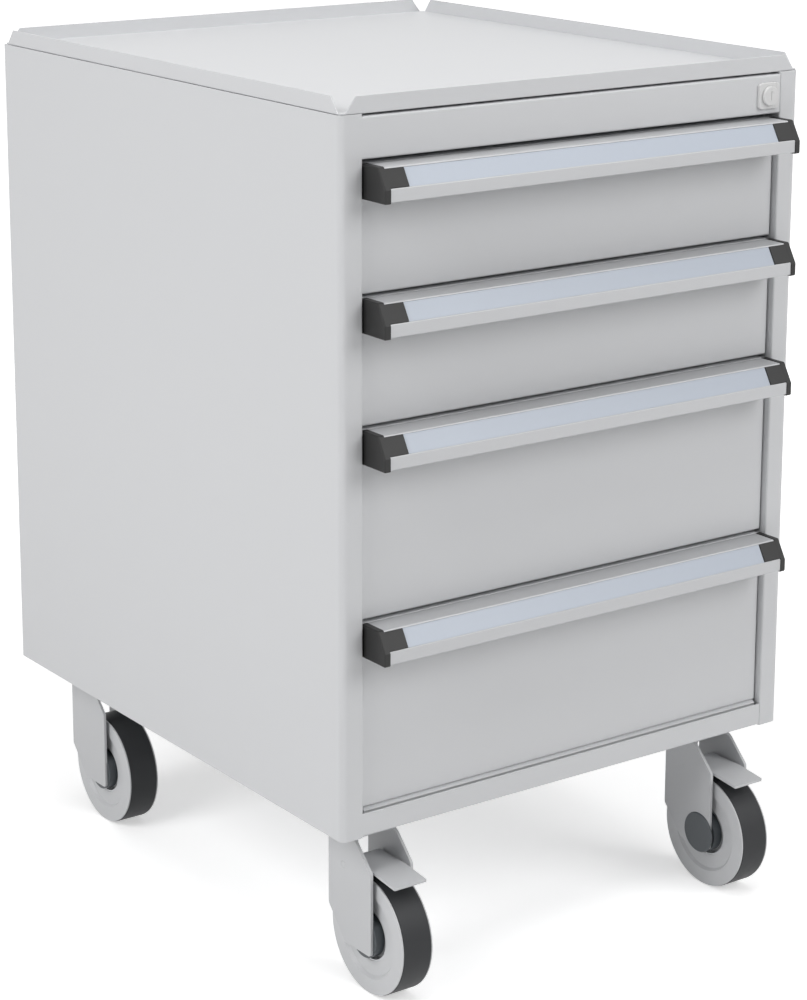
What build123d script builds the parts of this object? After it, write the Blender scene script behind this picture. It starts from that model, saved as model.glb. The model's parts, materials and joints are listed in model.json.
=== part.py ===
from build123d import *
import os
from math import cos, pi, radians, sin

# A mobile drawer unit: a folded sheet-steel cabinet with four drawers on telescopic runners,
# a shallow tray on top, a central lock and four swivel castors, the front pair braked.
# Millimetres. The origin is on the floor under the middle of the unit, +Z is up and the
# drawers open towards -Y.

# Fits shared by all pieces
fit_gap = 0.2
running_gap = 0.05
slide_gap = 0.4
overrun = 5.0

# Cabinet body
body_width = 512.0
body_depth = 590.0
body_height = 637.0
sheet = 1.5
corner_radius = 6.0
fold_radius = 2.0
flange_width = 22.7
flange_return = 15.0
rear_flange = 20.0
back_fold = 12.0

# Top tray
rim_height = 15.0
rim_cut = 13.0
tray_edge_radius = 1.2

# Base panel and its front rail
base_lift = 1.0
rail_height = 26.0
rail_lip = 18.0

# Lock rail above the drawers
lock_rail_gap = 1.5
lock_rail_height = 38.5
lock_rail_fold = 25.0

# Uprights that carry the runners
upright_width = 28.0
upright_top_gap = 40.0

# Drawers
shallow_pitch = 114.0
deep_pitch = 172.0
drawer_gap = 2.4
drawer_side_gap = 1.2
front_recess = 6.0
front_fold = 14.0
drawer_sheet = 1.2
box_back_gap = 48.0
box_lift = 8.0
box_top_gap = 20.0
box_corner = 3.0

# Telescopic runners
runner_flange_gap = 0.5
runner_depth = 12.7
runner_height = 45.0
runner_sheet = 1.2
runner_fold = 2.0
runner_setback = 40.0
runner_back_gap = 40.0
runner_rise = 28.0

# Grip extrusion, its label and its end caps
grip_top_depth = 27.3
grip_reach = 37.7
grip_slant_drop = 15.5
grip_strip_height = 10.2
grip_wall = 2.4
grip_leg = 20.0
label_lip = 1.4
label_recess = 1.2
label_thickness = 0.8
cap_plate = 6.0
cap_tab = 21.0
cap_rise = 0.6
cap_height = 30.0
cap_round = 1.5

# Central lock
lock_inset = 15.8
escutcheon_size = 27.0
escutcheon_thickness = 3.0
escutcheon_corner = 4.0
escutcheon_edge = 1.0
barrel_radius = 7.5
barrel_head_radius = 9.0
barrel_head_length = 5.5
barrel_head_edge = 1.0
key_slot_length = 9.0
key_slot_width = 1.6
key_slot_depth = 3.0
key_slot_angle = 90.0
cam_radius = 12.0
cam_thickness = 3.0
cam_pin_radius = 2.0
cam_pin_throw = 8.0
cam_pin_end = 2.0
cam_gap = 1.0
lock_turn = 90.0
bar_gap = 1.0
bar_thickness = 3.0
bar_width = 12.0
bar_wall_gap = 4.5
bar_head_height = 12.0
bar_head_margin = 4.0
pin_slot_gap = 0.5
finger_height = 8.0
finger_gap = 1.5
finger_lap = 4.0
tab_height = 6.0
tab_depth = 5.0
tab_reach = 8.0
tab_gap = 3.0
tab_top_gap = 17.6
guide_wall = 1.7
guide_height = 12.0
guide_gap = 0.3
guide_clear = 10.0

# Castors
wheel_radius = 55.4
tread_width = 32.5
wheel_room = 49.2
castor_trail = 31.8
plate_side_gap = 4.7
plate_front_gap = 1.5
plate_rear_gap = 28.4
plate_length = 100.0
plate_width = 70.0
plate_corner = 8.0
plate_thickness = 4.0
bolt_side_inset = 12.0
bolt_front_inset = 11.0
bolt_radius = 4.0
bolt_flats = 13.0
bolt_head = 5.3
nut_height = 6.5
cup_height = 8.0
cup_top_radius = 27.0
cup_bottom_radius = 24.0
king_pin_radius = 6.0
king_head_radius = 11.0
king_head_height = 4.0

# Castor forks
leg_gap = 3.95
fork_plate = 3.0
fork_bend = 6.0
fork_half_depth = 19.0
leg_nose = 17.0
leg_drop = 14.4
leg_heel = 25.0
leg_rear_rise = 14.3
leg_shoulder_drop = 27.4
leg_round = 4.0

# Wheels and axles
axle_radius = 5.0
guard_radius = 20.0
cap_disc_thickness = 4.0
cap_disc_edge = 1.0
hub_width = 21.0
hub_margin = 3.0
web_width = 12.0
web_share = 0.375
step_share = 0.52
step_depth = 3.2
ring_share = 0.625
rim_lip = 1.7
tyre_proud = 2.0
tyre_depth = 8.4
tyre_edge = 2.5
spoke_count = 5
spoke_width = 9.0

# Brake pedals
pedal_side_gap = 2.7
pedal_plate = 2.5
pedal_reach = 76.0
pedal_pivot_setback = 4.5
pedal_tyre_gap = 6.2
pedal_pin_radius = 3.0
pedal_eye_radius = 5.0
pedal_fall = 3.5
pedal_bend_share = 0.545
pedal_corner = 4.0

# Places worked out from the sizes above
half_width = body_width / 2
front_swivel_setback = flange_return + plate_front_gap + plate_width / 2
tyre_reach = wheel_radius + castor_trail - front_swivel_setback
front_y = -(body_depth - tyre_reach) / 2
back_y = front_y + body_depth
middle_y = (front_y + back_y) / 2
base_z = 2 * wheel_radius + wheel_room
body_z = base_z - base_lift
top_z = body_z + body_height
opening_half = half_width - flange_width
inner_half = half_width - sheet
rail_half = opening_half - fit_gap
rail_top_z = base_z + rail_height
lock_rail_top = top_z - lock_rail_gap
lock_rail_bottom = lock_rail_top - lock_rail_height
upright_foot = base_z + sheet
upright_top = top_z - upright_top_gap
front_castor_y = front_y + front_swivel_setback
rear_castor_y = back_y - plate_rear_gap - plate_width / 2
upright_y = front_castor_y - upright_width / 2
rear_upright_y = rear_castor_y - upright_width / 2

# The drawers from the top down: the top of each front and its height
first_top = lock_rail_bottom - drawer_gap
front_tops = (
    first_top,
    first_top - shallow_pitch,
    first_top - 2 * shallow_pitch,
    first_top - 2 * shallow_pitch - deep_pitch,
)
front_bottoms = tuple(top + drawer_gap for top in front_tops[1:]) + (rail_top_z + drawer_gap,)
front_half = opening_half - drawer_side_gap
front_face_y = front_y + front_recess
box_y = front_face_y + drawer_sheet
box_depth = back_y - box_back_gap - box_y
runner_x = opening_half - runner_flange_gap
box_half = runner_x - runner_depth
box_levels = tuple(bottom + box_lift for bottom in front_bottoms)
runner_levels = tuple(level + runner_rise for level in box_levels)
runner_y = front_y + runner_setback
runner_length = body_depth - runner_setback - runner_back_gap
runner_step = runner_sheet + slide_gap
mid_height = runner_height - 2 * runner_step
slim_height = mid_height - 2 * runner_step
mid_web_x = runner_x - runner_step
mid_tip_x = box_half + runner_step
outer_tip_x = mid_tip_x + runner_step
slim_tip_x = mid_web_x - runner_step

# The lock's axis, its pin at rest and the bar that the pin moves
lock_x = opening_half - lock_inset
lock_z = (lock_rail_top + lock_rail_bottom) / 2
pin_rest = radians(lock_turn / 2)
pin_x = lock_x + cam_pin_throw * cos(pin_rest)
pin_z = lock_z + cam_pin_throw * sin(pin_rest)
barrel_length = lock_rail_fold - cam_gap - cam_thickness
cam_pin_length = cam_gap + bar_gap + bar_thickness + cam_pin_end
bar_y = front_y + lock_rail_fold + bar_gap
tab_y = bar_y + bar_thickness + tab_gap
finger_tip_x = box_half + tab_reach - finger_lap
bar_outer_x = inner_half - bar_wall_gap
bar_inner_x = bar_outer_x - bar_width
tab_levels = tuple(top - box_top_gap - tab_top_gap - tab_height for top in front_tops)
finger_levels = tuple(level + tab_height + finger_gap for level in tab_levels)
guide_levels = (
    finger_levels[0] + finger_height + guide_clear,
    finger_levels[-1] + finger_height + 2 * guide_clear,
)

# The castors' swivel axes, and the heights of their stack from the base down
castor_x = inner_half - plate_side_gap - plate_length / 2
plate_bolt_length = plate_length - 2 * bolt_side_inset
plate_bolt_width = plate_width - 2 * bolt_front_inset
castor_spots = (
    (-castor_x, front_castor_y),
    (castor_x, front_castor_y),
    (-castor_x, rear_castor_y),
    (castor_x, rear_castor_y),
)
castor_names = ("fl", "fr", "rl", "rr")
braked_names = ("fl", "fr")
plate_z = base_z - plate_thickness
cup_z = plate_z - cup_height
crown_top = cup_z - slide_gap
crown_bottom = crown_top - fork_plate
king_head_z = crown_bottom - slide_gap - king_head_height
tread_half = tread_width / 2
leg_inner = tread_half + leg_gap
fork_half = leg_inner + fork_plate
tyre_seat_radius = wheel_radius - tyre_depth
hub_radius = guard_radius + hub_margin
pedal_half = leg_inner - pedal_side_gap
pedal_pivot_height = 2 * wheel_radius + pedal_tyre_gap + pedal_plate - pedal_eye_radius


def front_at(y):
    """An upright plane across the unit, with its x along +X and its y up."""
    return Plane.XZ.offset(-y)


def axle_plane(x, y, z=0):
    """An upright plane through a castor, with its x towards the back and its y up."""
    return Plane(origin=(x, y, z), x_dir=(0, 1, 0), z_dir=(1, 0, 0))


def save(part, name):
    """Labels a finished piece and writes it to its own file."""
    part.label = name
    export_step(part, f"parts/{name}.step")


def folded_section(plane, points, radius, thickness, side):
    """The section of a sheet folded along points on its outer face."""
    with BuildSketch(plane) as section:
        with BuildLine():
            FilletPolyline(*points, radius=radius)
            offset(amount=thickness, side=side)
        make_face()
    return section.sketch


def outline(plane, points):
    """A flat face with straight sides through the points."""
    with BuildSketch(plane) as face:
        with BuildLine():
            Polyline(*points, close=True)
        make_face()
    return face.sketch


os.makedirs("parts", exist_ok=True)

# Side panels: one sheet folded into front flange, side and rear flange
side_points = (
    (-opening_half, front_y + flange_return),
    (-opening_half, front_y),
    (-half_width, front_y),
    (-half_width, back_y),
    (-half_width + rear_flange, back_y),
)
side_radii = (fold_radius, corner_radius, fold_radius)
with BuildPart() as side_panel_left:
    side_section = folded_section(Plane.XY.offset(body_z), side_points, side_radii, sheet, Side.RIGHT)
    extrude(side_section, amount=body_height)
save(side_panel_left.part, "side_panel_left")

with BuildPart() as side_panel_right:
    mirror(side_panel_left.part, about=Plane.YZ)
save(side_panel_right.part, "side_panel_right")

# Back panel: a pan whose folded edges point into the cabinet
with BuildPart() as back_panel:
    with Locations((0, back_y - sheet, upright_foot)):
        Box(
            2 * (inner_half - fit_gap),
            back_fold,
            top_z - upright_foot,
            align=(Align.CENTER, Align.MAX, Align.MIN),
        )
    fillet(back_panel.faces().sort_by(Axis.Y)[-1].edges(), radius=fold_radius)
    offset(amount=-sheet, openings=back_panel.faces().sort_by(Axis.Y)[0])
save(back_panel.part, "back_panel")

# Base panel: the floor behind the flanges and the narrower front rail with its lip
rail_points = (
    (front_y + flange_return + overrun, base_z),
    (front_y, base_z),
    (front_y, rail_top_z),
    (front_y + rail_lip, rail_top_z),
)
with BuildPart() as base_panel:
    rail_section = folded_section(Plane.YZ, rail_points, fold_radius, sheet, Side.RIGHT)
    extrude(rail_section, amount=rail_half, both=True)
    with Locations((0, back_y - fold_radius, base_z)):
        Box(
            2 * inner_half,
            body_depth - fold_radius - flange_return - fit_gap,
            sheet,
            align=(Align.CENTER, Align.MAX, Align.MIN),
        )
    with BuildSketch(Plane.XY.offset(base_z)):
        for spot in castor_spots:
            with Locations(spot):
                with GridLocations(plate_bolt_length, plate_bolt_width, 2, 2):
                    Circle(bolt_radius + fit_gap)
    extrude(amount=sheet, mode=Mode.SUBTRACT)
save(base_panel.part, "base_panel")

# Top tray: the floor and four rims whose slanting ends leave the corners open
rim_planes = (
    (Plane(origin=(0, front_y, top_z), x_dir=(1, 0, 0), z_dir=(0, -1, 0)), half_width),
    (Plane(origin=(0, back_y, top_z), x_dir=(-1, 0, 0), z_dir=(0, 1, 0)), half_width),
    (Plane(origin=(-half_width, middle_y, top_z), x_dir=(0, -1, 0), z_dir=(-1, 0, 0)), body_depth / 2),
    (Plane(origin=(half_width, middle_y, top_z), x_dir=(0, 1, 0), z_dir=(1, 0, 0)), body_depth / 2),
)
with BuildPart() as top_tray:
    with Locations((0, middle_y, top_z)):
        Box(body_width, body_depth, sheet, align=(Align.CENTER, Align.CENTER, Align.MIN))
    for rim_plane, rim_half in rim_planes:
        rim_points = (
            (-rim_half, 0),
            (rim_half, 0),
            (rim_half, sheet),
            (rim_half - rim_cut, rim_height),
            (rim_cut - rim_half, rim_height),
            (-rim_half, sheet),
        )
        extrude(outline(rim_plane, rim_points), amount=-sheet)
    fillet(top_tray.faces().sort_by(Axis.Z)[0].edges(), radius=tray_edge_radius)
save(top_tray.part, "top_tray")

# Lock rail: a channel flush with the flanges, bored for the key barrel
lock_rail_points = (
    (front_y + lock_rail_fold, lock_rail_bottom),
    (front_y, lock_rail_bottom),
    (front_y, lock_rail_top),
    (front_y + lock_rail_fold, lock_rail_top),
)
lock_plane = Plane(origin=(lock_x, front_y, lock_z), x_dir=(1, 0, 0), z_dir=(0, -1, 0))
with BuildPart() as lock_rail:
    lock_rail_section = folded_section(Plane.YZ, lock_rail_points, fold_radius, sheet, Side.RIGHT)
    extrude(lock_rail_section, amount=rail_half, both=True)
    with BuildSketch(lock_plane):
        Circle(barrel_radius + running_gap)
    extrude(amount=sheet, both=True, mode=Mode.SUBTRACT)
save(lock_rail.part, "lock_rail")

# Lock escutcheon: a rounded square plate on the rail
with BuildPart() as lock_escutcheon:
    with BuildSketch(lock_plane):
        RectangleRounded(escutcheon_size, escutcheon_size, escutcheon_corner)
    extrude(amount=escutcheon_thickness)
    fillet(lock_escutcheon.faces().sort_by(Axis.Y)[0].edges(), radius=escutcheon_edge)
    with BuildSketch(lock_plane):
        Circle(barrel_radius + running_gap)
    extrude(amount=escutcheon_thickness, mode=Mode.SUBTRACT)
save(lock_escutcheon.part, "lock_escutcheon")

# Lock barrel: slotted head, body through the rail, cam disc and eccentric pin
with BuildPart() as lock_barrel:
    with BuildSketch(lock_plane.offset(escutcheon_thickness + fit_gap)):
        Circle(barrel_head_radius)
    extrude(amount=barrel_head_length)
    fillet(lock_barrel.faces().sort_by(Axis.Y)[0].edges(), radius=barrel_head_edge)
    with BuildSketch(lock_plane.offset(escutcheon_thickness + fit_gap + barrel_head_length)):
        SlotOverall(key_slot_length, key_slot_width, rotation=key_slot_angle)
    extrude(amount=-key_slot_depth, mode=Mode.SUBTRACT)
    with BuildSketch(lock_plane.offset(escutcheon_thickness + fit_gap)):
        Circle(barrel_radius)
    extrude(amount=-(escutcheon_thickness + fit_gap + barrel_length))
    with BuildSketch(lock_plane.offset(-barrel_length)):
        Circle(cam_radius)
    extrude(amount=-cam_thickness)
    with BuildSketch(lock_plane.offset(-barrel_length - cam_thickness)):
        with Locations((pin_x - lock_x, pin_z - lock_z)):
            Circle(cam_pin_radius)
    extrude(amount=-cam_pin_length)
save(lock_barrel.part, "lock_barrel")

# Lock bar: a vertical strip with a finger over each drawer's tab and a slotted head
bar_head_bottom = pin_z - bar_head_height / 2
bar_head_end_x = pin_x - cam_pin_radius - pin_slot_gap - bar_head_margin
bar_bottom = finger_levels[-1]
with BuildPart() as lock_bar:
    with BuildSketch(front_at(bar_y)):
        with Locations((bar_outer_x, bar_bottom)):
            Rectangle(bar_width, bar_head_bottom + bar_head_height - bar_bottom, align=(Align.MAX, Align.MIN))
        for finger_level in finger_levels:
            with Locations((bar_outer_x, finger_level)):
                Rectangle(bar_outer_x - finger_tip_x, finger_height, align=(Align.MAX, Align.MIN))
        with Locations((bar_outer_x, bar_head_bottom)):
            Rectangle(bar_outer_x - bar_head_end_x, bar_head_height, align=(Align.MAX, Align.MIN))
        with Locations(((pin_x + lock_x + cam_pin_throw) / 2, pin_z)):
            SlotOverall(
                lock_x + cam_pin_throw - pin_x + 2 * (cam_pin_radius + pin_slot_gap),
                2 * (cam_pin_radius + pin_slot_gap),
                mode=Mode.SUBTRACT,
            )
    extrude(amount=-bar_thickness)
save(lock_bar.part, "lock_bar")

# Lock bar guides: sleeves on the front of the right-hand upright
guide_front_y = bar_y - guide_gap - guide_wall
guide_middle_x = (bar_outer_x + bar_inner_x) / 2
with BuildPart() as lock_bar_guides:
    for guide_level in guide_levels:
        with Locations((guide_middle_x, upright_y, guide_level)):
            Box(
                bar_width + 2 * (guide_gap + guide_wall),
                upright_y - guide_front_y,
                guide_height,
                align=(Align.CENTER, Align.MAX, Align.MIN),
            )
        with Locations((guide_middle_x, bar_y - guide_gap, guide_level)):
            Box(
                bar_width + 2 * guide_gap,
                bar_thickness + 2 * guide_gap,
                guide_height,
                align=(Align.CENTER, Align.MIN, Align.MIN),
                mode=Mode.SUBTRACT,
            )
save(lock_bar_guides.part, "lock_bar_guides")

# Uprights: channels on the side panels, front and rear, left and right
with BuildPart() as uprights:
    for start_y in (upright_y, rear_upright_y):
        upright_points = (
            (inner_half, start_y),
            (runner_x, start_y),
            (runner_x, start_y + upright_width),
            (inner_half, start_y + upright_width),
        )
        upright_section = folded_section(
            Plane.XY.offset(upright_foot), upright_points, fold_radius, sheet, Side.RIGHT
        )
        extrude(upright_section, amount=upright_top - upright_foot)
    mirror(about=Plane.YZ)
save(uprights.part, "uprights")


def channel(web_x, tip_x, level, height, side):
    """The section of a runner member: a web with a lip above and below."""
    points = (
        (tip_x, level + height / 2),
        (web_x, level + height / 2),
        (web_x, level - height / 2),
        (tip_x, level - height / 2),
    )
    return folded_section(front_at(runner_y), points, runner_fold, runner_sheet, side)


# Cabinet runners: the fixed outer members, a pair for each drawer
with BuildPart() as cabinet_runners:
    for level in runner_levels:
        extrude(
            channel(runner_x, outer_tip_x, level, runner_height, Side.RIGHT),
            amount=-runner_length,
        )
    mirror(about=Plane.YZ)
save(cabinet_runners.part, "cabinet_runners")


def drawer_front(top, bottom):
    """A pan with its folded edges towards the cabinet."""
    with BuildPart() as front:
        with Locations((0, front_face_y, bottom)):
            Box(2 * front_half, front_fold, top - bottom, align=(Align.CENTER, Align.MIN, Align.MIN))
        fillet(front.faces().sort_by(Axis.Y)[0].edges(), radius=fold_radius)
        offset(amount=-drawer_sheet, openings=front.faces().sort_by(Axis.Y)[-1])
    return front.part


def drawer_box(top, level, tab_level):
    """An open-topped box, with a tab on its right side that the lock bar stops."""
    with BuildPart() as box:
        with Locations((0, box_y, level)):
            Box(
                2 * box_half,
                box_depth,
                top - box_top_gap - level,
                align=(Align.CENTER, Align.MIN, Align.MIN),
            )
        fillet(box.edges().filter_by(Axis.Z), radius=box_corner)
        offset(amount=-drawer_sheet, openings=box.faces().sort_by(Axis.Z)[-1])
        with Locations((box_half, tab_y, tab_level)):
            Box(tab_reach, tab_depth, tab_height, align=(Align.MIN, Align.MIN, Align.MIN))
    return box.part


def drawer_runners(level):
    """The pair of slim runner members on the sides of the box."""
    with BuildPart() as members:
        extrude(channel(box_half, slim_tip_x, level, slim_height, Side.LEFT), amount=-runner_length)
        mirror(about=Plane.YZ)
    return members.part


def drawer_mid_runners(level):
    """The pair of members between the cabinet's and the drawer's."""
    with BuildPart() as members:
        extrude(
            channel(mid_web_x, mid_tip_x, level, mid_height, Side.RIGHT),
            amount=-runner_length,
        )
        mirror(about=Plane.YZ)
    return members.part


# The grip's section, from its top rear corner: top, slanting label face and front strip
grip_corner = Vector(-grip_top_depth, 0)
grip_nose = Vector(-grip_reach, -grip_slant_drop)
slant = (grip_nose - grip_corner).normalized()
slant_in = Vector(-slant.Y, slant.X)
label_start = grip_corner + slant * label_lip
label_end = grip_nose - slant * label_lip
grip_points = (
    (0, -grip_leg),
    (0, 0),
    (grip_corner.X, grip_corner.Y),
    (grip_nose.X, grip_nose.Y),
    (grip_nose.X, grip_nose.Y - grip_strip_height),
)
grip_half = front_half - cap_plate


def grip_plane(x, top):
    """The plane of the grip's section, at x and with its origin at the grip's top."""
    return axle_plane(x, front_face_y, top)


def label_strip(plane, depth, height):
    """A strip along the label's channel, from depth below the slant to height above it."""
    low = slant_in * depth
    high = slant_in * -height
    corners = (label_start + low, label_end + low, label_end + high, label_start + high)
    return outline(plane, tuple((corner.X, corner.Y) for corner in corners))


def drawer_handle(top):
    """The extruded grip, with the label's channel cut along its slant."""
    with BuildPart() as grip:
        with BuildSketch(grip_plane(0, top)):
            with BuildLine():
                Polyline(*grip_points)
                offset(amount=grip_wall, side=Side.LEFT)
            make_face()
        extrude(amount=grip_half, both=True)
        channel_cut = label_strip(grip_plane(0, top), label_recess, label_recess)
        extrude(channel_cut, amount=grip_half, both=True, mode=Mode.SUBTRACT)
    return grip.part


def drawer_label(top):
    """The label strip on the floor of the channel, between the caps' tabs."""
    with BuildPart() as label:
        strip = label_strip(grip_plane(0, top), label_recess, label_thickness - label_recess)
        extrude(strip, amount=grip_half - cap_tab, both=True)
    return label.part


def drawer_end_caps(top):
    """A cap on each end of the grip: an end plate and a tab over the label's channel."""
    plate_points = (
        (0, cap_rise),
        (grip_corner.X - cap_rise, cap_rise),
        (grip_nose.X - cap_rise, grip_nose.Y),
        (grip_nose.X - cap_rise, cap_rise - cap_height),
        (0, cap_rise - cap_height),
    )
    with BuildPart() as caps:
        with BuildSketch(grip_plane(grip_half, top)) as plate:
            with BuildLine():
                Polyline(*plate_points, close=True)
            make_face()
            fillet(plate.vertices().group_by(Axis.X)[0], radius=cap_round)
        extrude(amount=cap_plate)
        extrude(label_strip(grip_plane(grip_half, top), label_recess, cap_rise), amount=-cap_tab)
        mirror(about=Plane.YZ)
    return caps.part


# The four drawers, numbered from the top
for number, front_top in enumerate(front_tops, start=1):
    place = number - 1
    name = f"drawer_{number}"
    save(drawer_front(front_top, front_bottoms[place]), f"{name}_front")
    save(drawer_box(front_top, box_levels[place], tab_levels[place]), f"{name}_box")
    save(drawer_handle(front_top), f"{name}_handle")
    save(drawer_label(front_top), f"{name}_label")
    save(drawer_end_caps(front_top), f"{name}_end_caps")
    save(drawer_runners(runner_levels[place]), f"{name}_runners")
    save(drawer_mid_runners(runner_levels[place]), f"{name}_mid_runners")

# Castor plates: plate, bearing cup and king pin, one solid under each corner
with BuildPart() as castor_plates:
    with BuildSketch(Plane.XY.offset(plate_z)):
        with Locations(*castor_spots):
            RectangleRounded(plate_length, plate_width, plate_corner)
    extrude(amount=plate_thickness)
    with BuildSketch(Plane.XY.offset(plate_z)):
        for spot in castor_spots:
            with Locations(spot):
                with GridLocations(plate_bolt_length, plate_bolt_width, 2, 2):
                    Circle(bolt_radius + fit_gap)
    extrude(amount=plate_thickness, mode=Mode.SUBTRACT)
    with Locations(*((x, y, cup_z) for x, y in castor_spots)):
        Cone(cup_bottom_radius, cup_top_radius, cup_height, align=(Align.CENTER, Align.CENTER, Align.MIN))
    with BuildSketch(Plane.XY.offset(king_head_z)):
        with Locations(*castor_spots):
            Circle(king_pin_radius)
    extrude(amount=cup_z - king_head_z)
    with BuildSketch(Plane.XY.offset(king_head_z)):
        with Locations(*castor_spots):
            Circle(king_head_radius)
    extrude(amount=king_head_height)
save(castor_plates.part, "castor_plates")

# Castor bolts: hexagon head under the plate, nut on the base
with BuildPart() as castor_bolts:
    for spot in castor_spots:
        bolt_layers = (
            (plate_z - bolt_head, bolt_head, bolt_flats / 2, True),
            (plate_z, base_z + sheet - plate_z, bolt_radius, False),
            (base_z + sheet, nut_height, bolt_flats / 2, True),
        )
        for layer_z, layer_height, layer_radius, is_hexagon in bolt_layers:
            with BuildSketch(Plane.XY.offset(layer_z)):
                with Locations(spot):
                    with GridLocations(plate_bolt_length, plate_bolt_width, 2, 2):
                        if is_hexagon:
                            RegularPolygon(layer_radius, 6, major_radius=False)
                        else:
                            Circle(layer_radius)
            extrude(amount=layer_height)
save(castor_bolts.part, "castor_bolts")


def castor_fork(x, y, braked):
    """A plate bent over the wheel, trimmed to the outline of its two legs."""
    leg_bottom = wheel_radius - leg_drop
    bend_points = (
        (x - fork_half, leg_bottom),
        (x - fork_half, crown_top),
        (x + fork_half, crown_top),
        (x + fork_half, leg_bottom),
    )
    leg_points = (
        (fork_half_depth, crown_top),
        (fork_half_depth, wheel_radius + leg_rear_rise),
        (leg_heel - castor_trail, leg_bottom),
        (-leg_nose - castor_trail, leg_bottom),
        (-leg_nose - castor_trail, crown_top - leg_shoulder_drop),
        (-fork_half_depth, crown_top),
    )
    with BuildPart() as fork:
        bend = folded_section(front_at(y + fork_half_depth), bend_points, fork_bend, fork_plate, Side.RIGHT)
        extrude(bend, amount=fork_half_depth + castor_trail + leg_nose)
        with BuildSketch(axle_plane(x, y)) as legs:
            with BuildLine():
                Polyline(*leg_points, close=True)
            make_face()
            fillet(legs.vertices().sort_by(Axis.Y)[:-2], radius=leg_round)
        extrude(amount=fork_half, both=True, mode=Mode.INTERSECT)
        with BuildSketch(Plane.XY.offset(crown_bottom)):
            with Locations((x, y)):
                Circle(king_pin_radius + running_gap)
        extrude(amount=fork_plate, mode=Mode.SUBTRACT)
        with BuildSketch(axle_plane(x, y)):
            with Locations((-castor_trail, wheel_radius)):
                Circle(axle_radius + running_gap)
            if braked:
                with Locations((-pedal_pivot_setback, pedal_pivot_height)):
                    Circle(pedal_pin_radius + running_gap)
        extrude(amount=fork_half, both=True, mode=Mode.SUBTRACT)
    return fork.part


def castor_axle(x, y):
    """The axle with a thread guard each side of the hub, and a cap on the inner leg."""
    inward = -1 if x > 0 else 1
    centre = Plane(origin=(x, y - castor_trail, wheel_radius), x_dir=(0, 1, 0), z_dir=(inward, 0, 0))
    guard_start = hub_width / 2 + slide_gap
    with BuildPart() as axle:
        with BuildSketch(centre):
            Circle(axle_radius)
        extrude(amount=fork_half, both=True)
        with BuildSketch(centre.offset(guard_start), centre.offset(-leg_inner)):
            Circle(guard_radius)
        extrude(amount=leg_inner - guard_start)
        with BuildSketch(centre.offset(fork_half)):
            Circle(guard_radius)
        extrude(amount=cap_disc_thickness)
        cap_face = axle.faces().sort_by(Axis.X)[-1 if inward > 0 else 0]
        chamfer(cap_face.edges(), length=cap_disc_edge)
    return axle.part


def castor_wheel(x, y):
    """A moulded wheel core: hub, spoked web, stepped dish and a channel for the tyre."""
    hub_half = hub_width / 2
    web_half = web_width / 2
    dish = tyre_seat_radius - hub_radius
    web_radius = hub_radius + dish * web_share
    rim_radius = wheel_radius - tyre_proud
    half_section = (
        (hub_half, axle_radius + running_gap),
        (hub_half, hub_radius),
        (web_half, hub_radius),
        (web_half, web_radius),
        (tread_half - step_depth, hub_radius + dish * step_share),
        (tread_half, hub_radius + dish * ring_share),
        (tread_half, rim_radius),
        (tread_half - rim_lip, rim_radius),
        (tread_half - rim_lip, tyre_seat_radius),
    )
    section = half_section + tuple((-across, radius) for across, radius in reversed(half_section))
    spoke_radius = (hub_radius + web_radius) / 2
    slot_height = web_radius - hub_radius - slide_gap
    slot_angle = 360 / spoke_count - (spoke_width + slot_height) / spoke_radius * 180 / pi
    centre = (x, y - castor_trail, wheel_radius)
    with BuildPart() as core:
        with BuildSketch(Plane(origin=centre, x_dir=(1, 0, 0), z_dir=(0, -1, 0))):
            with BuildLine():
                Polyline(*section, close=True)
            make_face()
        revolve(axis=Axis(centre, (1, 0, 0)))
        with BuildSketch(axle_plane(x, y - castor_trail, wheel_radius)):
            with PolarLocations(0, spoke_count):
                SlotArc(CenterArc((0, 0), spoke_radius, -slot_angle / 2, slot_angle), slot_height)
        extrude(amount=web_half, both=True, mode=Mode.SUBTRACT)
    return core.part


def castor_tyre(x, y):
    """A band of rubber in the wheel's channel, standing a little proud of its lips."""
    with BuildPart() as tyre:
        with BuildSketch(axle_plane(x, y - castor_trail, wheel_radius)):
            Circle(wheel_radius)
            Circle(tyre_seat_radius, mode=Mode.SUBTRACT)
        extrude(amount=tread_half - rim_lip, both=True)
        tread = tyre.faces().filter_by(GeomType.CYLINDER).sort_by(SortBy.AREA)[-1]
        fillet(tread.edges().filter_by(GeomType.CIRCLE), radius=tyre_edge)
    return tyre.part


def castor_pedal(x, y):
    """A brake pedal: a bent plate hinged on a pin through both legs, over the tyre."""
    pivot = axle_plane(x, y - pedal_pivot_setback, pedal_pivot_height)
    tread_run = pedal_reach - pedal_pivot_setback
    pedal_points = (
        (0, pedal_eye_radius),
        (-tread_run * pedal_bend_share, pedal_eye_radius),
        (-tread_run, pedal_eye_radius - pedal_fall),
    )
    with BuildPart() as pedal:
        with BuildSketch(pivot):
            with BuildLine():
                Polyline(*pedal_points)
                offset(amount=pedal_plate, side=Side.LEFT)
            make_face()
            Circle(pedal_eye_radius)
        extrude(amount=pedal_half, both=True)
        tip = pedal.faces().sort_by(Axis.Y)[0]
        fillet(tip.edges().sort_by(SortBy.LENGTH)[:2], radius=pedal_corner)
        with BuildSketch(pivot):
            Circle(pedal_pin_radius)
        extrude(amount=fork_half, both=True)
    return pedal.part


# The four castors
for castor_name, (x, y) in zip(castor_names, castor_spots):
    braked = castor_name in braked_names
    save(castor_fork(x, y, braked), f"castor_{castor_name}_fork")
    save(castor_axle(x, y), f"castor_{castor_name}_axle")
    save(castor_wheel(x, y), f"castor_{castor_name}_wheel")
    save(castor_tyre(x, y), f"castor_{castor_name}_tyre")
    if braked:
        save(castor_pedal(x, y), f"castor_{castor_name}_pedal")
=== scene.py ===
import json
from math import cos, hypot, radians, sin

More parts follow.
